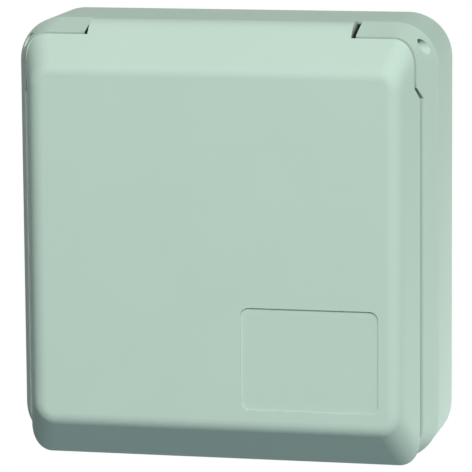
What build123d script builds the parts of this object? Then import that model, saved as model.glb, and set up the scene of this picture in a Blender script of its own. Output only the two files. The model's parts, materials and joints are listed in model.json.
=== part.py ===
# Panel-mounted industrial socket, five-pole, with a sprung lid hinged along its top edge.
# Millimetres. Pieces are drawn lying on their back: X across, Y up the panel, Z out of the panel,
# with the origin on the socket's axis at the panel face. stand() turns each one upright.
import math
import os

from build123d import *

# Frame: a rounded outline at the sharp edge round the wall, and how the panel and cheeks differ from it
edge_half_width = 48.9
edge_half_height = 50.35
edge_radius = 10.0
edge_height = 20.0
back_taper = 0.25
back_flare = 0.3
back_radius = 10.2
cheek_rise = 9.0
cheek_inset_side = 4.0
cheek_inset_top = 2.8
cheek_inset_bottom = 3.95
cheek_radius = 5.0
cheek_drop = 0.9
skirt_rise = 5.65
frame_wall = 2.5
deck_drop = 4.0
deck_thickness = 2.5

# Hinge cheeks at the two upper corners
cheek_inner = 31.4
bearing_width = 6.0
bearing_drop = 5.2
notch_low_inset = 16.55
notch_high_inset = 12.95

# Hinge pin and the lid's barrel on it
hinge_inset = 5.15
pin_radius = 1.5
pin_clearance = 0.05
pin_overhang = 1.5
pin_access_radius = 1.75
barrel_radius = 5.5
barrel_gap = 0.9
swing_clearance = 0.3

# Lid: flat front, straight drafted sides, broad slopes above and below
seam_gap = 1.0
lid_rise = 15.8
lid_inset_side = 3.1
lid_side_draft = 20.0
lid_face_inset_bottom = 9.35
lid_face_inset_top = 9.95
lid_wall = 2.4
lid_edge_radius = 4.0
lid_corner_radius = 6.0
notch_gap = 1.2
lid_rib_width = 1.6
lid_rib_height = 3.0
lid_rib_root = 0.5
lid_rib_angles = (0.0, 180.0, 225.0, 270.0, 315.0)
lug_width = 16.0
lug_depth = 3.0
lug_height = 4.0
lug_setback = 8.0

# Blank label field on the lid
label_width = 31.7
label_height = 23.6
label_inset_right = 11.1
label_inset_bottom = 13.4
label_radius = 2.0
label_depth = 0.4

# Torsion spring on the pin
spring_wire = 1.0
spring_coil_radius = 2.7
spring_turns = 5.5
spring_pitch = 1.15
spring_pocket_gap = 0.4
spring_leg_room = 1.7
spring_lid_leg = 4.0
spring_leg_fit = 0.1
spring_rest_width = 3.0
spring_rest_length = 2.5

# Collar that takes the plug's shroud, with the key groove at its lowest point
collar_bore_radius = 32.2
collar_wall = 2.8
collar_setback = 5.55
collar_length = 48.5
collar_lip_radius = 29.5
collar_lip_thickness = 2.5
collar_flange_radius = 39.5
collar_flange_thickness = 2.7
collar_rim_round = 0.8
key_width = 8.2
key_depth = 3.4
key_wall = 2.4
key_length = 40.0
fit_gap = 0.3

# Lid seal
seal_inset = 0.4
seal_width = 3.6
seal_rib_width = 1.5
seal_rib_height = 3.0

# Gasket under a ledge in the frame's back, and the fixing holes through the frame
gasket_thickness = 2.8
gasket_width = 6.8
gasket_fit = 0.15
ledge_thickness = 2.0
ledge_root = 0.5
fixing_inset_side = 10.9
fixing_inset_top = 16.35
fixing_radius = 2.25
fixing_boss_radius = 4.5

# Contact insert, its five sleeves and their grip rings
insert_radius = 28.0
insert_setback = 5.5
insert_base_thickness = 4.0
insert_skin = 5.0
insert_round = 1.0
base_fit = 0.3
pitch_radius = 15.0
pole_names = ("pe", "n", "l3", "l2", "l1")
pole_first_angle = -90.0
pole_step_angle = 72.0
line_pin_radius = 2.5
earth_pin_radius = 3.5
bore_clearance = 0.05
mouth_clearance = 0.5
sleeve_wall = 1.45
sleeve_gap = 0.2
sleeve_length = 26.0
bore_depth = 24.0
sleeve_slot_width = 0.8
sleeve_slot_depth = 14.0
sleeve_shoulder = 2.0
shank_radius = 3.0
shank_clearance = 0.05
ring_wall = 0.7
ring_width = 3.0
ring_setback = 6.0
ring_split = 1.2
ring_fit = 0.03
ring_room = 0.2

# Terminal block behind the insert
block_flange_radius = 33.5
block_flange_thickness = 4.0
block_body_radius = 27.0
block_length = 18.0
terminal_side = 8.0
terminal_length = 11.0
terminal_sink = 1.0
terminal_floor = 1.0
terminal_fit = 0.2
wire_radius = 2.1
clamp_radius = 2.0
clamp_fit = 0.05
clamp_length = 7.0
clamp_slot_width = 0.8
clamp_slot_depth = 1.0

# Screws that hold the collar and the block
collar_screw_circle = 37.4
collar_screw_radius = 1.25
collar_screw_length = 8.0
collar_screw_head = 2.2
collar_screw_head_height = 1.2
collar_screw_slot = 0.6
collar_screw_angles = (45.0, 135.0, 225.0, 315.0)
collar_boss_radius = 3.0
collar_boss_height = 4.5
screw_fit = 0.05
block_screw_circle = 22.0
block_screw_radius = 1.5
block_screw_head = 2.75
block_screw_head_height = 2.2
block_screw_slot = 0.8
block_screw_bite = 3.0
block_screw_sink = 8.0
block_screw_angles = (90.0, -54.0, -126.0)

# Values worked out from the ones above
back_half_width = edge_half_width - back_taper
back_half_height = edge_half_height + back_flare
cheek_half_width = edge_half_width - cheek_inset_side
cheek_top = edge_half_height - cheek_inset_top
cheek_bottom = cheek_inset_bottom - edge_half_height
notch_low = edge_half_height - notch_low_inset
notch_high = edge_half_height - notch_high_inset
hinge_y = edge_half_height - hinge_inset
lid_rim_half_width = edge_half_width - lid_inset_side
lid_rim_bottom = -edge_half_height
lid_face_bottom = lid_face_inset_bottom - edge_half_height
lid_face_top = edge_half_height - lid_face_inset_top
fixing_x = edge_half_width - fixing_inset_side
fixing_y = edge_half_height - fixing_inset_top
seal_inner_radius = collar_bore_radius + seal_inset
seal_outer_radius = seal_inner_radius + seal_width
deck_top = edge_height - deck_drop
deck_back = deck_top - deck_thickness
cheek_height = edge_height + cheek_rise
cheek_face = cheek_height - cheek_drop
skirt_height = edge_height + skirt_rise
lid_front = edge_height + lid_rise
barrel_half_length = cheek_inner - barrel_gap
lid_rim_height = skirt_height + seam_gap
lid_inner_face = lid_front - lid_wall
side_run = math.tan(math.radians(lid_side_draft))
top_run = (cheek_top - lid_face_top) / (lid_front - cheek_height)
bottom_run = (lid_face_bottom - lid_rim_bottom) / (lid_front - lid_rim_height)
slope_length = math.hypot(1, top_run)
hinge_z = lid_front - (hinge_y - lid_face_top + barrel_radius * slope_length) / top_run
tangent_z = hinge_z + barrel_radius * top_run / slope_length
notch_lean = (notch_high - notch_low) / (cheek_height - skirt_height)
cheek_face_top = edge_half_height - cheek_inset_top * (cheek_face - edge_height) / cheek_rise
cheek_sweep = math.hypot(cheek_face_top - hinge_y, cheek_face - hinge_z) + swing_clearance
collar_front = lid_inner_face - collar_setback
collar_back = collar_front - collar_length
flange_back = deck_back - collar_flange_thickness
insert_front = collar_front - insert_setback
collar_radius = collar_bore_radius + collar_wall
spring_frame_leg = hinge_y - collar_radius - spring_leg_room
key_outer_radius = collar_bore_radius + key_depth + key_wall
lip_top = collar_back + collar_lip_thickness
base_top = lip_top + insert_base_thickness
block_back = collar_back - block_length
terminal_front = block_back + terminal_length + terminal_sink
clamp_z = terminal_front - terminal_length / 2
sleeve_front = insert_front - insert_skin - sleeve_gap
sleeve_back = sleeve_front - sleeve_length
far = 200.0

# Pole name, angle round the axis, pin radius
poles = []
for place, pole in enumerate(pole_names):
    pole_pin = earth_pin_radius if pole == "pe" else line_pin_radius
    poles.append((pole, pole_first_angle + place * pole_step_angle, pole_pin))


def stand(shape):
    # Local Z, out of the panel, becomes -Y; local Y becomes +Z.
    return Plane.XZ.location * shape


def save(name, shape):
    export_step(stand(shape), f"parts/{name}.step")


def rod(radius, low, high, x=0.0, y=0.0):
    disc = Pos(x, y, low) * Circle(radius)
    return extrude(disc, amount=high - low)


def tube(outer, inner, low, high):
    return rod(outer, low, high) - rod(inner, low, high)


def cross_rod(radius, left, right, y, z):
    # Round bar along X.
    disc = Plane.YZ.offset(left) * Pos(y, z) * Circle(radius)
    return extrude(disc, amount=right - left, dir=(1, 0, 0))


def block(x0, x1, y0, y1, z0, z1):
    return Pos((x0 + x1) / 2, (y0 + y1) / 2, (z0 + z1) / 2) * Box(x1 - x0, y1 - y0, z1 - z0)


def side_prism(points, left, right):
    # Outline given as (y, z) points, drawn out along X.
    face = make_face(Polyline(*[(left, y, z) for y, z in points], close=True))
    return extrude(face, amount=right - left, dir=(1, 0, 0))


def both_sides(shape):
    return shape + mirror(shape, about=Plane.YZ)


def outline(half_width, top, bottom, radius, height):
    centre = Pos(0, (top + bottom) / 2, height)
    return centre * RectangleRounded(2 * half_width, top - bottom, radius)


def wall_outline(height, inset):
    # The frame's outer form at any height, drawn in by inset.
    if height <= edge_height:
        share = height / edge_height
        half_width = back_half_width + share * (edge_half_width - back_half_width)
        top = back_half_height + share * (edge_half_height - back_half_height)
        bottom = -top
        radius = back_radius + share * (edge_radius - back_radius)
    else:
        share = (height - edge_height) / cheek_rise
        half_width = edge_half_width + share * (cheek_half_width - edge_half_width)
        top = edge_half_height + share * (cheek_top - edge_half_height)
        bottom = -edge_half_height + share * (cheek_bottom + edge_half_height)
        radius = edge_radius + share * (cheek_radius - edge_radius)
    return outline(half_width - inset, top - inset, bottom + inset, max(radius - inset, 1.0), height)


def wall_form(low, high, inset):
    return loft([wall_outline(low, inset), wall_outline(high, inset)], ruled=True)


def at_pole(angle, shape):
    return Rot(0, 0, angle) * Pos(pitch_radius, 0, 0) * shape


def fixing_points():
    return [(fixing_x * side, fixing_y * end) for side in (1, -1) for end in (1, -1)]


def cheek_profile(low, high, gap):
    # Side outline of a cheek; its lower end is the slanted step beside the lid.
    low_y = notch_low + (low - skirt_height) * notch_lean - gap
    high_y = notch_low + (high - skirt_height) * notch_lean - gap
    return [(low_y, low), (high_y, high), (far, high), (far, low)]


def make_frame():
    form = wall_form(0, edge_height, 0) + wall_form(edge_height, cheek_height, 0)

    # Tray behind the lid, and the skirt cut down everywhere but at the cheeks
    frame = form - wall_form(deck_top, edge_height, frame_wall)
    frame -= wall_form(edge_height, cheek_height + swing_clearance, frame_wall)
    above = block(-far, far, -far, far, skirt_height, far)
    cheek = side_prism(cheek_profile(skirt_height, cheek_face, 0), cheek_inner, far)
    frame -= above - both_sides(cheek)

    # Bearings for the pin, trimmed to the wall's outer form
    inner = hinge_y - bearing_drop
    bearing = block(cheek_inner, cheek_inner + bearing_width, inner, far, deck_top, cheek_face)
    frame += both_sides(bearing & form)
    frame -= swing_room()
    frame += make_spring_rest()

    # Hollow back with a ledge for the gasket, and columns for the fixing screws
    frame -= wall_form(0, deck_back, frame_wall)
    ledge_top = gasket_thickness + ledge_thickness
    frame += gasket_ring(-ledge_root, gasket_thickness, ledge_top)
    for x, y in fixing_points():
        frame += rod(fixing_boss_radius, 0, deck_top, x, y)
        frame -= rod(fixing_radius, 0, far, x, y)

    # Collar opening, and bosses for its screws
    frame -= rod(collar_radius + fit_gap, 0, far)
    frame -= key_block(fit_gap, 0, far)
    for x, y in collar_screw_points():
        boss = rod(collar_boss_radius, deck_top, deck_top + collar_boss_height, x, y)
        frame += boss - rod(collar_radius + fit_gap, 0, far)
        high = flange_back + collar_screw_length + screw_fit
        frame -= rod(collar_screw_radius + screw_fit, deck_back, high, x, y)

    # Pin bore through the bearings, and its way in through the corner walls
    reach = cheek_inner + bearing_width + pin_overhang
    frame -= cross_rod(pin_radius + pin_clearance, -reach, reach, hinge_y, hinge_z)
    frame -= both_sides(cross_rod(pin_access_radius, reach, far, hinge_y, hinge_z))
    return frame


def make_spring_rest():
    # Rib on the deck that the spring's frame leg presses on.
    x = -spring_half_length()
    high = hinge_z - spring_coil_radius - spring_wire / 2 - bore_clearance
    end = hinge_y - spring_frame_leg
    half = spring_rest_width / 2
    return block(x - half, x + half, end, end + spring_rest_length, deck_back, high)


def swing_room():
    # Cove that the lid's barrel turns in, open to the front between the cheeks.
    room = cross_rod(barrel_radius + swing_clearance, -cheek_inner, cheek_inner, hinge_y, hinge_z)
    return room + block(-cheek_inner, cheek_inner, hinge_y - barrel_radius, far, edge_height, far)


def gasket_ring(gap, low, high):
    # Ring just inside the frame's back wall.
    outer = wall_form(low, high, frame_wall + gap)
    return outer - wall_form(low, high, frame_wall + gasket_width)


def key_block(grow, low, high):
    half = key_width / 2 + key_wall + grow
    return block(-half, half, -key_outer_radius - grow, 0, low, high)


def lid_form(inset, floor):
    # The lid's outer form drawn in by inset, solid from the floor height to its front.
    side_inset = inset * math.hypot(1, side_run)
    top_inset = inset * math.hypot(1, top_run)
    bottom_inset = inset * math.hypot(1, bottom_run)
    front = lid_front - inset

    def half_width(z):
        return lid_rim_half_width - side_run * (z - lid_rim_height) - side_inset

    def top(z):
        return lid_face_top + top_run * (lid_front - z) - top_inset

    def bottom(z):
        return lid_face_bottom - bottom_run * (lid_front - z) + bottom_inset

    across = [
        (-half_width(floor), -far, floor),
        (half_width(floor), -far, floor),
        (half_width(front), -far, front),
        (-half_width(front), -far, front),
    ]
    sides = extrude(make_face(Polyline(*across, close=True)), amount=2 * far, dir=(0, 1, 0))
    profile = [(bottom(floor), floor), (bottom(front), front), (top(front), front), (top(floor), floor)]
    form = sides & side_prism(profile, -far, far)
    corners = [e for e in form.edges() if min(abs(v) for v in tuple(e % 0.5)) > 0.01]
    form = fillet(corners, lid_corner_radius - inset)
    return fillet(form.edges().group_by(Axis.Z)[-1], lid_edge_radius - inset)


def make_lid():
    shell = lid_form(0, lid_rim_height) - lid_form(lid_wall, skirt_height)

    # Clear the cheeks, then end the slope in the hinge barrel between them
    beyond = barrel_half_length
    cheek_room = side_prism(cheek_profile(skirt_height, cheek_face + seam_gap, notch_gap), beyond, far)
    cheek_room += cross_rod(cheek_sweep, beyond, far, hinge_y, hinge_z)
    shell -= both_sides(cheek_room)
    shell -= block(-beyond, beyond, hinge_y, far, 0, tangent_z)
    lid = shell + cross_rod(barrel_radius, -beyond, beyond, hinge_y, hinge_z)
    lid -= cross_rod(pin_radius + pin_clearance, -far, far, hinge_y, hinge_z)
    lid -= spring_room()

    # Rib that holds the seal, and the lug that keeps a plug in
    rib_inner = seal_outer_radius + fit_gap
    lid += tube(rib_inner + seal_rib_width, rib_inner, lid_inner_face - seal_rib_height, lid_inner_face)
    lid += make_plug_lug()
    lid += make_lid_ribs(rib_inner + seal_rib_width)
    return lid - make_label()


def make_lid_ribs(start):
    # Stiffening ribs from the seal's rib out to the lid's walls.
    half = lid_rib_width / 2
    bar = block(start - lid_rib_root, far, -half, half, lid_inner_face - lid_rib_height, lid_front)
    ribs = [Rot(0, 0, angle) * bar for angle in lid_rib_angles]
    inside = lid_form(lid_wall - lid_rib_root, lid_rim_height)
    return [rib & inside for rib in ribs]


def make_plug_lug():
    y = seal_inner_radius - lug_setback
    half = lug_width / 2
    return block(-half, half, y - lug_depth, y, lid_inner_face - lug_height, lid_inner_face)


def make_label():
    middle = edge_half_width - label_inset_right - label_width / 2
    low = label_inset_bottom - edge_half_height
    face = outline(label_width / 2, low + label_height, low, label_radius, lid_front - label_depth)
    return extrude(Pos(middle, 0, 0) * face, amount=label_depth)


def spring_half_length():
    return spring_turns * spring_pitch / 2


def spring_room():
    half = spring_half_length() + spring_wire + spring_pocket_gap
    radius = spring_coil_radius + spring_wire / 2 + spring_pocket_gap
    room = cross_rod(radius, -half, half, hinge_y, hinge_z)
    low_y = hinge_y - 2 * barrel_radius
    room += block(-half, half, low_y, hinge_y, hinge_z - far, hinge_z + radius)
    room += block(-half, half, low_y, hinge_y + radius, hinge_z - far, hinge_z)
    leg = spring_wire / 2 + spring_leg_fit
    end = spring_half_length() + spring_lid_leg + spring_wire
    return room + cross_rod(leg, 0, end, hinge_y, hinge_z + spring_coil_radius)


def make_spring():
    wire = spring_wire / 2
    half = spring_half_length()
    helix = Helix(spring_pitch, spring_turns * spring_pitch, spring_coil_radius)
    section = Plane(origin=helix @ 0, z_dir=helix % 0) * Circle(wire)
    coil = sweep(section, path=helix, is_frenet=True)
    across = Plane(origin=(-half, hinge_y, hinge_z), x_dir=(0, 0, -1), z_dir=(1, 0, 0))
    coil = across.location * coil
    frame_leg_z = hinge_z - spring_coil_radius
    frame_leg = extrude(
        Plane.XZ.offset(-hinge_y) * Pos(-half, frame_leg_z) * Circle(wire),
        amount=spring_frame_leg,
        dir=(0, -1, 0),
    )
    lid_leg = cross_rod(wire, half, half + spring_lid_leg, hinge_y, hinge_z + spring_coil_radius)
    knee = Pos(half, hinge_y, hinge_z + spring_coil_radius) * Sphere(wire)
    return coil + frame_leg + knee + lid_leg


def make_pin():
    reach = cheek_inner + bearing_width
    return chamfer(cross_rod(pin_radius, -reach, reach, hinge_y, hinge_z).edges(), pin_radius / 5)


def make_seal():
    low = collar_front + fit_gap
    ring = tube(seal_outer_radius, seal_inner_radius, low, lid_inner_face)
    mid = (seal_inner_radius + seal_outer_radius) / 2
    lip = (seal_outer_radius - seal_inner_radius) / 6
    return ring - tube(mid + lip, mid - lip, low, low + lip)


def make_collar():
    collar = rod(collar_radius, collar_back, collar_front)
    collar += key_block(0, collar_back, collar_front) & rod(key_outer_radius, collar_back, collar_front)
    collar += rod(collar_flange_radius, flange_back, deck_back)
    collar -= rod(collar_bore_radius, lip_top, collar_front)
    collar -= rod(collar_lip_radius, collar_back, lip_top)
    half = key_width / 2
    groove_depth = collar_bore_radius + key_depth
    collar -= block(-half, half, -groove_depth, 0, collar_front - key_length, collar_front)
    collar = fillet(collar.edges().group_by(Axis.Z)[-1], collar_rim_round)
    for x, y in collar_screw_points():
        collar -= rod(collar_screw_radius + screw_fit, flange_back, deck_back, x, y)
        collar -= screw_cone(screw_fit, x, y)
    return collar


def collar_screw_points():
    angles = [math.radians(a) for a in collar_screw_angles]
    return [(collar_screw_circle * math.cos(a), collar_screw_circle * math.sin(a)) for a in angles]


def screw_cone(grow, x, y):
    head = collar_screw_head + grow
    height = collar_screw_head_height + grow
    return Pos(x, y, flange_back + height / 2) * Cone(head, collar_screw_radius, height)


def make_collar_screws():
    half = collar_screw_slot / 2
    slot = block(-far, far, -half, half, flange_back, flange_back + collar_screw_head_height / 2)
    screws = []
    for x, y in collar_screw_points():
        screw = screw_cone(0, x, y)
        screw += rod(collar_screw_radius, flange_back, flange_back + collar_screw_length, x, y)
        screws.append(screw - Pos(x, y, 0) * slot)
    return Compound([s.solid() for s in screws])


def make_gasket():
    gasket = gasket_ring(gasket_fit, 0, gasket_thickness)
    for x, y in fixing_points():
        gasket -= rod(fixing_boss_radius + gasket_fit, 0, gasket_thickness, x, y)
    return gasket


def sleeve_radius(pin):
    return pin + bore_clearance + sleeve_wall


def pocket_radius(pin):
    return sleeve_radius(pin) + ring_fit + ring_wall + ring_room


def make_insert():
    insert = rod(insert_radius, lip_top, insert_front)
    insert = fillet(insert.edges().group_by(Axis.Z)[-1], insert_round)
    insert += rod(collar_bore_radius - base_fit, lip_top, base_top)
    for _, angle, pin in poles:
        insert -= at_pole(angle, rod(pin + mouth_clearance, lip_top, insert_front))
        insert -= at_pole(angle, rod(pocket_radius(pin), sleeve_back, insert_front - insert_skin))
        insert -= at_pole(angle, rod(shank_radius + shank_clearance, lip_top, insert_front - insert_skin))
    for angle in block_screw_angles:
        pilot = rod(block_screw_radius + screw_fit, lip_top, lip_top + block_screw_bite + screw_fit)
        insert -= Rot(0, 0, angle) * Pos(block_screw_circle, 0, 0) * pilot
    return insert


def make_contact(angle, pin):
    outer = sleeve_radius(pin)
    sleeve = rod(outer, sleeve_back, sleeve_front)
    sleeve += rod(pocket_radius(pin) - ring_room / 2, sleeve_back, sleeve_back + sleeve_shoulder)
    sleeve -= rod(pin + bore_clearance, sleeve_front - bore_depth, sleeve_front)
    slot = block(-far, far, -sleeve_slot_width / 2, sleeve_slot_width / 2, sleeve_front - sleeve_slot_depth, far)
    sleeve -= slot + Rot(0, 0, 90) * slot
    shank = rod(shank_radius, terminal_front, sleeve_back)
    half = terminal_side / 2
    head = block(-half, half, -half, half, terminal_front - terminal_length, terminal_front)
    head -= rod(wire_radius, terminal_front - terminal_length, terminal_front - terminal_floor)
    head -= cross_rod(clamp_radius + clamp_fit, 0, half, 0, clamp_z)
    return at_pole(angle, sleeve + shank + head)


def make_grip_ring(angle, pin):
    inner = sleeve_radius(pin) + ring_fit
    high = sleeve_front - ring_setback
    ring = tube(inner + ring_wall, inner, high - ring_width, high)
    ring -= block(0, far, -ring_split / 2, ring_split / 2, high - ring_width, high)
    return at_pole(angle, ring)


def make_block():
    body = rod(collar_lip_radius - fit_gap, collar_back, lip_top)
    body += rod(block_flange_radius, collar_back - block_flange_thickness, collar_back)
    body += rod(block_body_radius, block_back, collar_back)
    half = terminal_side / 2 + terminal_fit
    for _, angle, _ in poles:
        pocket = block(-half, half, -half, half, block_back, terminal_front)
        pocket += rod(shank_radius + shank_clearance, block_back, lip_top)
        pocket += cross_rod(clamp_radius + terminal_fit, 0, far, 0, clamp_z)
        body -= at_pole(angle, pocket)
    for angle in block_screw_angles:
        sink = rod(block_screw_head + terminal_fit, block_back, block_back + block_screw_sink)
        sink += rod(block_screw_radius + screw_fit, block_back, lip_top)
        body -= Rot(0, 0, angle) * Pos(block_screw_circle, 0, 0) * sink
    return body


def make_block_screws():
    seat = block_back + block_screw_sink
    half = block_screw_slot / 2
    screws = []
    for angle in block_screw_angles:
        screw = rod(block_screw_head, seat - block_screw_head_height, seat)
        screw += rod(block_screw_radius, seat, lip_top + block_screw_bite)
        low = seat - block_screw_head_height
        screw -= block(-far, far, -half, half, low, low + block_screw_head_height / 2)
        screws.append(Rot(0, 0, angle) * Pos(block_screw_circle, 0, 0) * screw)
    return Compound([s.solid() for s in screws])


def make_terminal_screws():
    screws = []
    for _, angle, _ in poles:
        start = wire_radius
        end = start + clamp_length
        screw = cross_rod(clamp_radius, start, end, 0, clamp_z)
        half = clamp_slot_width / 2
        screw -= block(end - clamp_slot_depth, end, -half, half, clamp_z - far, clamp_z + far)
        screws.append(at_pole(angle, screw))
    return Compound([s.solid() for s in screws])


def main():
    os.makedirs("parts", exist_ok=True)
    save("housing_frame", make_frame())
    save("lid", make_lid())
    save("hinge_pin", make_pin())
    save("lid_spring", make_spring())
    save("lid_seal", make_seal())
    save("socket_collar", make_collar())
    save("collar_screws", make_collar_screws())
    save("panel_gasket", make_gasket())
    save("contact_insert", make_insert())
    for name, angle, pin in poles:
        save(f"contact_{name}", make_contact(angle, pin))
        save(f"grip_ring_{name}", make_grip_ring(angle, pin))
    save("terminal_block", make_block())
    save("block_screws", make_block_screws())
    save("terminal_screws", make_terminal_screws())


main()
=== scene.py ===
import json
import math

import bmesh
import bpy
from mathutils import Matrix, Vector


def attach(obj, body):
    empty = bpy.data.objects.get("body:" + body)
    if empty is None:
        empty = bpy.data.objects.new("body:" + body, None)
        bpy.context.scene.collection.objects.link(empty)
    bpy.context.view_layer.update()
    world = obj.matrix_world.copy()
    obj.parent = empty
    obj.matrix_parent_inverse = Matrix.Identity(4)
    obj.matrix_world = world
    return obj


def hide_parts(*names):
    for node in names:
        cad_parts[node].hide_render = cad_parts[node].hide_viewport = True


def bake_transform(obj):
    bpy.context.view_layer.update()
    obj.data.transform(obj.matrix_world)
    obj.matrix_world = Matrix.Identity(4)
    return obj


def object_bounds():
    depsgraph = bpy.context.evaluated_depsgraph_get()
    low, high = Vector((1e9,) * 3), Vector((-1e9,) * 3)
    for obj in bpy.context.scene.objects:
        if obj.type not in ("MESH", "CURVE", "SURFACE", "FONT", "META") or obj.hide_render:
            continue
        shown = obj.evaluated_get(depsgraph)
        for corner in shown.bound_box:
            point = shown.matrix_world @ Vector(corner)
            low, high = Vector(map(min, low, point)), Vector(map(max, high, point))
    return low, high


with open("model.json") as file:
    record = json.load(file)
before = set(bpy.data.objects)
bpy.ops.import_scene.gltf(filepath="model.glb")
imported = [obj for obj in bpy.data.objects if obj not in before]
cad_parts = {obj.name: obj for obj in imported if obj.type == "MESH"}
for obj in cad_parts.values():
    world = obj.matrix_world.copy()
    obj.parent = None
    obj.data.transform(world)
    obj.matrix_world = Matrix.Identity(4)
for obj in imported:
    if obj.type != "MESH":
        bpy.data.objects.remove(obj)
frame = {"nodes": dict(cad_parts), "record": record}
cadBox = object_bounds()
scene = bpy.context.scene
perMetre = 1000  # pieces are given in millimetres, finishes and the studio in metres
print("frame loaded:", len(frame["nodes"]), "nodes")


# a Wire is one output socket, so that shader maths reads as plain expressions
class Wire:
    def __init__(self, graph, socket):
        self.graph = graph
        self.socket = socket

    def maths(self, operation, first, second):
        return self.graph.node("ShaderNodeMath", {"operation": operation}, {0: first, 1: second})

    def __add__(self, other):
        return self.maths("ADD", self, other)

    def __radd__(self, other):
        return self.maths("ADD", other, self)

    def __mul__(self, other):
        return self.maths("MULTIPLY", self, other)

    def __rmul__(self, other):
        return self.maths("MULTIPLY", other, self)

    def __or__(self, other):  # either mask, the larger of the two
        return self.maths("MAXIMUM", self, other)

    def __ror__(self, other):
        return self.maths("MAXIMUM", other, self)


# a Graph is one node tree of any kind, filled by its node method alone
class Graph:
    def __init__(self, tree):
        self.tree = tree
        tree.nodes.clear()

    # any node: its type, its settings, then the values or wires of its sockets
    def node(self, kind, settings=None, sockets=None, out=0):
        made = self.tree.nodes.new(kind)
        for key, value in (settings or {}).items():
            if key == "stops":
                self.stops(made.color_ramp, value)
            else:
                setattr(made, key, value)
        for key, value in (sockets or {}).items():
            self.feed(made.inputs[key], value)
        return Wire(self, made.outputs[out]) if made.outputs else None

    def stops(self, ramp, values):
        while len(ramp.elements) < len(values):
            ramp.elements.new(1.0)
        for element, (place, shade) in zip(ramp.elements, values):
            element.position = place
            element.color = (shade, shade, shade, 1.0)

    def feed(self, socket, value):
        if isinstance(value, Wire):
            self.tree.links.new(value.socket, socket)
        elif socket.type == "RGBA":
            socket.default_value = (*value, 1.0)
        else:
            socket.default_value = value


# short names of the shader's sockets, and the part of a noise's range that is used
shaderSockets = {
    "colour": "Base Color", "rough": "Roughness", "metal": "Metallic",
    "normal": "Normal", "gloss": "Specular IOR Level",
}
noiseRange = {"From Min": 0.3, "From Max": 0.7}


# a Finish is one material
class Finish(Graph):
    def __init__(self, name):
        self.material = bpy.data.materials.new(name)
        self.material.use_nodes = True
        super().__init__(self.material.node_tree)

    def place(self):
        return self.node("ShaderNodeTexCoord", out="Object")

    def noise(self, size, detail, rough=0.5, stretch=(1, 1, 1)):
        place = self.node("ShaderNodeMapping", {}, {"Vector": self.place(), "Scale": stretch})
        values = {"Vector": place, "Scale": 1.0 / size, "Detail": detail, "Roughness": rough}
        return self.node("ShaderNodeTexNoise", {}, values)

    def cells(self, size):
        values = {"Vector": self.place(), "Scale": 1.0 / size}
        return self.node("ShaderNodeTexVoronoi", {"feature": "F1"}, values)

    def spread(self, wire, low, high):
        values = {"Value": wire, **noiseRange, "To Min": low, "To Max": high}
        return self.node("ShaderNodeMapRange", {}, values)

    def mix(self, factor, first, second):
        colours = {0: factor, 6: first, 7: second}  # the node has sockets for other kinds too
        return self.node("ShaderNodeMix", {"data_type": "RGBA"}, colours, out=2)

    def bump(self, height, depth):
        return self.node("ShaderNodeBump", {}, {"Height": height, "Distance": depth})

    def shader(self, **values):
        sockets = {shaderSockets[key]: value for key, value in values.items()}
        return self.node("ShaderNodeBsdfPrincipled", {}, sockets)

    def close(self, shader):
        self.node("ShaderNodeOutputMaterial", {}, {"Surface": shader})
        return self.material


# painted shade: ambient occlusion darkens the colour towards black deep in a gap, where shade would
# fall; the lid's front face is left out of it
gapShadePaint = {
    "colour": (0.0, 0.0, 0.0), "reach": 0.0020, "samples": 8,
    "stops": [(0.0, 0.02), (0.3, 0.10), (0.5, 0.48), (0.78, 1.0)],
    "frontFrom": -0.0315, "frontTo": -0.0335,
}


# paints shade into the colour wherever ambient occlusion finds a gap
def paintGapShade(skin, colour):
    reach = {"Distance": gapShadePaint["reach"]}
    openness = skin.node(
        "ShaderNodeAmbientOcclusion", {"samples": gapShadePaint["samples"]}, reach, out="AO")
    unshaded = skin.node("ShaderNodeValToRGB", {"stops": gapShadePaint["stops"]}, {"Fac": openness})
    depth = skin.node("ShaderNodeSeparateXYZ", {}, {"Vector": skin.place()}, out="Y")
    limits = {"Value": depth, "From Min": gapShadePaint["frontFrom"], "From Max": gapShadePaint["frontTo"]}
    front = skin.node("ShaderNodeMapRange", {}, limits)
    return skin.mix(unshaded | front, gapShadePaint["colour"], colour)


# moulded plastic: fine spark grain, faint cloudiness, a little shine left on the grain's tops
plastic = {
    "hazeSize": 0.018, "hazeDetail": 3.0,
    "speckDetail": 2.0, "speckRough": 0.6, "speckTint": 0.5, "speckHeight": 0.6,
    "pitSize": 1.4, "pitHeight": 0.4,  # the pits' size is counted in grains
    "smoother": -0.05, "rougher": 0.07, "gloss": 0.05,
}


def mouldedPlastic(name, colour, grain, depth, rough, cloud, gapShaded=False):
    skin = Finish(name)
    haze = skin.noise(plastic["hazeSize"], plastic["hazeDetail"])
    speck = skin.noise(grain, plastic["speckDetail"], plastic["speckRough"])
    pits = skin.cells(grain * plastic["pitSize"])
    paler = tuple(min(c * (1 + cloud), 1.0) for c in colour)
    deeper = tuple(c * (1 - cloud) for c in colour)
    tint = skin.mix(skin.spread(haze, 0.0, 1.0), deeper, paler)
    tint = skin.mix(skin.spread(speck, 0.0, plastic["speckTint"]), tint, paler)
    height = speck * plastic["speckHeight"] + pits * plastic["pitHeight"]
    # when asked, shade is painted into the colour in the gaps
    return skin.close(skin.shader(
        colour=paintGapShade(skin, tint) if gapShaded else tint,
        rough=skin.spread(speck, rough + plastic["smoother"], rough + plastic["rougher"]),
        normal=skin.bump(height, depth),
        gloss=plastic["gloss"],
    ))


# drawn or turned metal: fine lines along one way, a few duller stains
metal = {
    "lineDetail": 3.0, "lineRough": 0.6, "lineDepth": 0.00002,
    "stainSize": 0.004, "stainDetail": 3.0, "stainTint": 0.6, "duller": 0.72,
    "smoother": -0.08, "rougher": 0.12,
}


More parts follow.
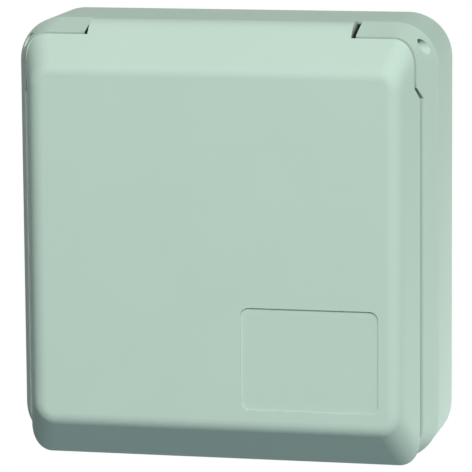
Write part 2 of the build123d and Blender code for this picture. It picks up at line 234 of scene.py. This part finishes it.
def turnedMetal(name, colour, lines, stretch, rough):
    skin = Finish(name)
    scratch = skin.noise(lines, metal["lineDetail"], metal["lineRough"], stretch)
    stain = skin.noise(metal["stainSize"], metal["stainDetail"])
    duller = tuple(c * metal["duller"] for c in colour)
    return skin.close(skin.shader(
        colour=skin.mix(skin.spread(stain, 0.0, metal["stainTint"]), colour, duller),
        metal=1.0,
        rough=skin.spread(scratch, rough + metal["smoother"], rough + metal["rougher"]),
        normal=skin.bump(scratch, metal["lineDepth"]),
    ))


# rubber and foam: fine pores under a pale bloom
rubber = {
    "bloomSize": 0.006, "bloomDetail": 3.0, "bloomTint": 0.5, "paler": 1.8, "lift": 0.012,
    "smooth": 0.62, "matt": 0.82, "gloss": 0.35,
}


def softRubber(name, colour, pore, depth):
    skin = Finish(name)
    bloom = skin.noise(rubber["bloomSize"], rubber["bloomDetail"])
    pores = skin.cells(pore)
    paler = tuple(c * rubber["paler"] + rubber["lift"] for c in colour)
    return skin.close(skin.shader(
        colour=skin.mix(skin.spread(bloom, 0.0, rubber["bloomTint"]), colour, paler),
        rough=skin.spread(bloom, rubber["smooth"], rubber["matt"]),
        normal=skin.bump(pores, depth),
        gloss=rubber["gloss"],
    ))


# frame and lid are of one plastic, each with its own material
# both have painted shade darkening their gaps
paleGreen = {
    "colour": (0.455, 0.597, 0.512), "grain": 0.00035, "depth": 0.000012,
    "rough": 0.62, "cloud": 0.010, "gapShaded": True,
}
finishes = {
    "housing_plastic": mouldedPlastic("paleGreenFrame", **paleGreen),
    "lid_plastic": mouldedPlastic("paleGreenLid", **paleGreen),
    "collar_plastic": mouldedPlastic(
        "redCollar", (0.50, 0.028, 0.022), grain=0.0004, depth=0.00001, rough=0.34, cloud=0.05),
    "insert_plastic": mouldedPlastic(
        "charcoalInsert", (0.050, 0.052, 0.055),
        grain=0.0004, depth=0.000012, rough=0.42, cloud=0.06),
    "block_plastic": mouldedPlastic(
        "greyBlock", (0.13, 0.13, 0.135), grain=0.0005, depth=0.00002, rough=0.5, cloud=0.06),
    "pin_steel": turnedMetal(
        "pinSteel", (0.60, 0.61, 0.62), lines=0.0004, stretch=(0.15, 1, 1), rough=0.3),
    "spring_steel": turnedMetal(
        "springSteel", (0.42, 0.43, 0.45), lines=0.0003, stretch=(1, 1, 1), rough=0.34),
    "screw_steel": turnedMetal(
        "zincScrew", (0.58, 0.58, 0.54), lines=0.0003, stretch=(1, 0.3, 1), rough=0.36),
    "contact_brass": turnedMetal(
        "turnedBrass", (0.66, 0.47, 0.18), lines=0.0003, stretch=(1, 8, 1), rough=0.28),
    "seal_rubber": softRubber(
        "sealRubber", (0.018, 0.018, 0.019), pore=0.0006, depth=0.00001),
    "gasket_foam": softRubber(
        "gasketFoam", (0.04, 0.04, 0.041), pore=0.0005, depth=0.00008),
}
nodeSlots = {row["node"]: row["material_slot"] for row in frame["record"]["subparts"]}
for node, piece in frame["nodes"].items():
    for place in piece.material_slots:
        place.material = finishes[nodeSlots[node]]
print("finishes set:", len(finishes))


def addObject(name, data):
    made = bpy.data.objects.new(name, data)
    scene.collection.objects.link(made)
    return made


# a piece that stays with one body
def addPiece(name, mesh, slot, body):
    piece = addObject(name, mesh)
    mesh.name = name
    if not mesh.materials:
        mesh.materials.append(finishes[slot])
    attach(piece, body)


# a helper object's final shape as a plain mesh; the helper itself is deleted
def plainMesh(helper):
    bpy.context.view_layer.update()
    seen = helper.evaluated_get(bpy.context.evaluated_depsgraph_get())
    mesh = bpy.data.meshes.new_from_object(seen)
    helper.modifiers.clear()
    bpy.data.objects.remove(helper)
    return mesh


# a Pattern is one geometry nodes tree whose sizes are named inputs
class Pattern(Graph):
    def __init__(self, name):
        super().__init__(bpy.data.node_groups.new(name, "GeometryNodeTree"))
        for way in ("INPUT", "OUTPUT"):
            self.tree.interface.new_socket("Geometry", in_out=way, socket_type="NodeSocketGeometry")
        self.points = self.node("NodeGroupInput")
        self.keys = {}

    def size(self, name, kind="NodeSocketFloat"):
        made = self.tree.interface.new_socket(name, in_out="INPUT", socket_type=kind)
        self.keys[name] = made.identifier
        return self.node("NodeGroupInput", out=name)

    # the shape on every point, turned, as one painted mesh
    def close(self, shape, turn):
        spots = {"Points": self.points, "Instance": shape, "Rotation": turn}
        copies = self.node("GeometryNodeInstanceOnPoints", {}, spots)
        real = self.node("GeometryNodeRealizeInstances", {}, {"Geometry": copies})
        coat = {"Geometry": real, "Material": self.size("Paint", "NodeSocketMaterial")}
        self.node("NodeGroupOutput", {}, {0: self.node("GeometryNodeSetMaterial", {}, coat)})
        return self

    # the tree run on seed points, with its sizes in millimetres
    def grow(self, name, seed, sizes, slot, body):
        helper = addObject(name + "Seed", seed)
        step = helper.modifiers.new("pattern", "NODES")
        step.node_group = self.tree
        for key, value in sizes.items():
            step[self.keys[key]] = value / perMetre
        step[self.keys["Paint"]] = finishes[slot]
        addPiece(name, plainMesh(helper), slot, body)


# a point given across, up and out of the panel in millimetres
def spot(across, up, out):
    return Vector((across, -out, up)) / perMetre


# seed points, each with its turn in degrees
def seedPoints(name, rows):
    mesh = bpy.data.meshes.new(name)
    mesh.from_pydata([spot(*row[:3]) for row in rows], [], [])
    turns = mesh.attributes.new("turn", "FLOAT", "POINT")
    for place, row in enumerate(rows):
        turns.data[place].value = math.radians(row[3])
    return mesh


# ribs that stiffen the frame's hollow back, between the gasket's ledge and the deck
backRibs = {
    "thickness": 1.2, "depth": 4.0, "low": 4.7, "high": 13.6,
    "sideWall": 46.4, "sideTurn": 90.0, "endWall": 48.1, "endTurn": 0.0,
    "places": (-24.0, -12.0, 0.0, 12.0, 24.0),
}


# bars, each turned about the axis out of the panel
def barPattern():
    bars = Pattern("bars")
    sizes = [bars.size(key) for key in ("Thickness", "Height", "Depth")]
    size = bars.node("ShaderNodeCombineXYZ", {}, dict(enumerate(sizes)))
    bar = bars.node("GeometryNodeMeshCube", {}, {"Size": size})
    turn = bars.node("GeometryNodeInputNamedAttribute", {"data_type": "FLOAT"}, {"Name": "turn"})
    return bars.close(bar, bars.node("ShaderNodeCombineXYZ", {}, {"Y": turn}))


def makeBackRibs():
    middle = (backRibs["low"] + backRibs["high"]) / 2
    across = backRibs["sideWall"] - backRibs["depth"] / 2
    up = backRibs["endWall"] - backRibs["depth"] / 2
    rows = []
    for place in backRibs["places"]:
        rows += [(way * across, place, middle, backRibs["sideTurn"]) for way in (1, -1)]
        rows += [(place, way * up, middle, backRibs["endTurn"]) for way in (1, -1)]
    sizes = {
        "Thickness": backRibs["thickness"],
        "Height": backRibs["high"] - backRibs["low"],
        "Depth": backRibs["depth"],
    }
    seed = seedPoints("ribSeeds", rows)
    barPattern().grow("backRibs", seed, sizes, "housing_plastic", "housing")


# round ejector marks left on the lid's inner face
ejectorMarks = {
    "radius": 2.2, "rise": 0.15, "face": 33.4, "sides": 32,
    "places": [
        (0.0, 2.0), (20.0, 12.0), (-20.0, 12.0), (22.0, -12.0), (-22.0, -12.0), (0.0, -24.0),
    ],
}
outwards = (math.pi / 2, 0, 0)  # turns what faces up to face out of the panel


def padPattern():
    pads = Pattern("pads")
    shape = {
        "Vertices": ejectorMarks["sides"],
        "Radius": pads.size("Radius"), "Depth": pads.size("Height"),
    }
    return pads.close(pads.node("GeometryNodeMeshCylinder", {}, shape), outwards)


def makeEjectorMarks():
    rows = [(across, up, ejectorMarks["face"], 0.0) for across, up in ejectorMarks["places"]]
    sizes = {"Radius": ejectorMarks["radius"], "Height": 2 * ejectorMarks["rise"]}
    seed = seedPoints("markSeeds", rows)
    padPattern().grow("ejectorMarks", seed, sizes, "lid_plastic", "lid_body")


# two fine beads on the seal, where it meets the collar's rim
sealBeads = {
    "bead": 0.2, "face": 28.15, "radii": {"sealBeadInner": 33.2, "sealBeadOuter": 35.6},
    "steps": {"Ring Radius": 96, "Bead Radius": 12},
}


# a round bead swept along a circle
def beadPattern():
    beads = Pattern("beads")
    circles = []
    for key, steps in sealBeads["steps"].items():
        shape = {"Resolution": steps, "Radius": beads.size(key)}
        circles.append(beads.node("GeometryNodeCurvePrimitiveCircle", {}, shape))
    path, section = circles
    ring = beads.node("GeometryNodeCurveToMesh", {}, {"Curve": path, "Profile Curve": section})
    return beads.close(ring, outwards)


def makeSealBeads():
    beads = beadPattern()
    for name, radius in sealBeads["radii"].items():
        seed = seedPoints(name + "Spot", [(0.0, 0.0, sealBeads["face"], 0.0)])
        sizes = {"Ring Radius": radius, "Bead Radius": sealBeads["bead"]}
        beads.grow(name, seed, sizes, "seal_rubber", "lid_body")


makeBackRibs()
makeEjectorMarks()
makeSealBeads()
print("ribs, ejector marks and seal beads grown")


# lid spring, with one leg on the frame and one in the lid: a smooth-shaded copy with its doubled
# points merged takes the place of the original
lidSpring = {
    "wire": 1.0, "lidLeg": 4.0, "slot": "spring_steel",
    "merge": 0.0001, "sharp": 40,  # corners over this many degrees stay sharp
}


def mergedCopy(node, name):
    mesh = frame["nodes"][node].data.copy()
    mesh.name = name
    mesh.attributes.remove(mesh.attributes["custom_normal"])
    shell = bmesh.new()
    shell.from_mesh(mesh)
    bmesh.ops.remove_doubles(shell, verts=shell.verts, dist=lidSpring["merge"] / perMetre)
    shell.to_mesh(mesh)
    shell.free()
    mesh.shade_smooth()
    mesh.set_sharp_from_angle(angle=math.radians(lidSpring["sharp"]))
    return mesh


def makeLidSpring():
    piece = addObject("windingSpring", mergedCopy("lid_spring", "windingSpring"))
    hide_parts("lid_spring")
    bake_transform(piece)


makeLidSpring()


# raised pole marks, on the insert's face and on the back of the terminal block;
# angles and turns are in degrees, an earth bar is its middle, width and height
poleMarks = {
    "words": {"n": (-18.0, "N"), "l3": (54.0, "L3"), "l2": (126.0, "L2"), "l1": (198.0, "L1")},
    "size": 3.6, "rise": 0.3, "curveSteps": 4,
    "earth": -90.0,
    "earthBars": [
        (0.0, 0.9, 0.5, 1.8), (0.0, 0.0, 3.2, 0.45),
        (0.0, -0.75, 2.1, 0.45), (0.0, -1.5, 1.0, 0.45),
    ],
    "sides": {
        "front": {"circle": 22.6, "face": 22.35, "turn": 0.0, "slot": "insert_plastic"},
        "back": {"circle": 22.8, "face": -38.65, "turn": 180.0, "slot": "block_plastic"},
    },
}


def wordMesh(word):
    letters = bpy.data.curves.new(word, "FONT")
    letters.body = word
    letters.size = poleMarks["size"] / perMetre
    letters.extrude = poleMarks["rise"] / perMetre
    letters.align_x = "CENTER"
    letters.align_y = "CENTER"
    letters.resolution_u = poleMarks["curveSteps"]
    mesh = plainMesh(addObject(word, letters))
    mesh.materials.clear()
    return mesh


def earthMesh():
    shell = bmesh.new()
    for across, up, wide, tall in poleMarks["earthBars"]:
        middle = Matrix.Translation(Vector((across, up, 0.0)) / perMetre)
        size = Vector((wide, tall, 2 * poleMarks["rise"])) / perMetre
        bmesh.ops.create_cube(shell, size=1.0, matrix=middle @ Matrix.Diagonal(size).to_4x4())
    mesh = bpy.data.meshes.new("earth")
    shell.to_mesh(mesh)
    shell.free()
    return mesh


def makePoleMarks(side, row):
    turned = Matrix.Rotation(math.radians(row["turn"]), 4, "Z")
    facing = turned @ Matrix.Rotation(math.pi / 2, 4, "X")
    marks = [(key, angle, wordMesh(word)) for key, (angle, word) in poleMarks["words"].items()]
    marks.append(("pe", poleMarks["earth"], earthMesh()))
    for key, angle, mesh in marks:
        across = row["circle"] * math.cos(math.radians(angle))
        up = row["circle"] * math.sin(math.radians(angle))
        mesh.transform(Matrix.Translation(spot(across, up, row["face"])) @ facing)
        addPiece(f"mark_{side}_{key}", mesh, row["slot"], "housing")


for side, row in poleMarks["sides"].items():
    makePoleMarks(side, row)
print("pole marks set")


# camera: where the photograph was taken from, worked out from its own edges;
# angles in degrees, right and up are small shifts of the camera itself
shot = {
    "yaw": 12.82, "pitch": 9.26, "roll": -0.45, "distance": 0.815,
    "right": 0.00169, "up": -0.00152, "aim": (0.0, -0.020, 0.0019),
    "focalPixels": 3546.0, "imagePixels": 472.0,
    "sensor": 36.0, "near": 0.01, "far": 50.0,
}


def makeCamera():
    yaw, pitch, roll = (math.radians(shot[key]) for key in ("yaw", "pitch", "roll"))
    flat = math.cos(pitch)
    back = Vector((math.sin(yaw) * flat, -math.cos(yaw) * flat, math.sin(pitch)))
    level = (-back).cross(Vector((0, 0, 1))).normalized()
    raised = level.cross(-back)
    across = level * math.cos(roll) + raised * math.sin(roll)
    up = raised * math.cos(roll) - level * math.sin(roll)
    lens = bpy.data.cameras.new("camera")
    lens.sensor_width = shot["sensor"]
    lens.lens = shot["focalPixels"] / shot["imagePixels"] * lens.sensor_width
    lens.clip_start = shot["near"]
    lens.clip_end = shot["far"]
    camera = addObject("camera", lens)
    camera.matrix_world = Matrix((across, up, back)).transposed().to_4x4()
    shift = across * shot["right"] + up * shot["up"]
    camera.location = Vector(shot["aim"]) + back * shot["distance"] + shift
    scene.camera = camera


makeCamera()
print("camera set")


# studio: pale floor that the camera sees as white, even sky, soft boxes;
# a lamp is its place, size and power
studio = {
    "floorDrop": 2.4, "floorSize": 14.0, "floorColour": (0.56, 0.70, 0.86), "floorRough": 0.9,
    "sky": 0.03, "skyColour": (1, 1, 1), "white": 1.0,
    "lamps": {
        "keyBox": ((0.67, -2.52, 1.83), 1.2, 92.5),
        "keyRight": ((1.45, -2.07, 1.97), 1.2, 29.0),
        "rimSide": ((0.19, 0.16, -0.15), 0.1, 0.50),
        "rimBack": ((1.57, 2.71, -0.67), 1.2, 17.0),
        "rimLeft": ((-1.35, 1.75, 0.0), 0.9, 4.0),
        "fillRight": ((2.45, -0.75, 0.0), 1.0, 6.2),
    },
}


# white where the camera or a reflection looks, the lit surface for everything else
def whiteToCamera(graph, lit, white):
    camera, glossy, through = (
        graph.node("ShaderNodeLightPath", out=f"Is {kind} Ray")
        for kind in ("Camera", "Glossy", "Transmission")
    )
    shaders = {0: camera | glossy | through, 1: lit, 2: white}
    return graph.node("ShaderNodeMixShader", {}, shaders)


def makeFloor():
    half = studio["floorSize"] / 2
    level = cadBox[0].z - studio["floorDrop"]
    corners = [(x * half, y * half, level) for x, y in ((-1, -1), (1, -1), (1, 1), (-1, 1))]
    mesh = bpy.data.meshes.new("floor")
    mesh.from_pydata(corners, [], [(0, 1, 2, 3)])
    floor = addObject("floor", mesh)
    paint = Finish("floorPaint")
    lit = paint.shader(colour=studio["floorColour"], rough=studio["floorRough"])
    white = paint.node("ShaderNodeEmission", {}, {"Strength": studio["white"]})
    mesh.materials.append(paint.close(whiteToCamera(paint, lit, white)))


def makeSky():
    world = bpy.data.worlds.new("sky")
    world.use_nodes = True
    sky = Graph(world.node_tree)
    colour = studio["skyColour"]
    lit, white = (
        sky.node("ShaderNodeBackground", {}, {"Color": colour, "Strength": studio[key]})
        for key in ("sky", "white")
    )
    sky.node("ShaderNodeOutputWorld", {}, {"Surface": whiteToCamera(sky, lit, white)})
    scene.world = world


def makeLamps():
    aim = Vector(shot["aim"])
    for name, (place, size, power) in studio["lamps"].items():
        lamp = bpy.data.lights.new(name, "AREA")
        lamp.shape = "SQUARE"
        lamp.size = size
        lamp.energy = power
        holder = addObject(name, lamp)
        holder.location = place
        holder.rotation_euler = (aim - holder.location).to_track_quat("-Z", "Y").to_euler()


makeFloor()
makeSky()
makeLamps()
scene.view_settings.view_transform = "Standard"
print("studio ready")
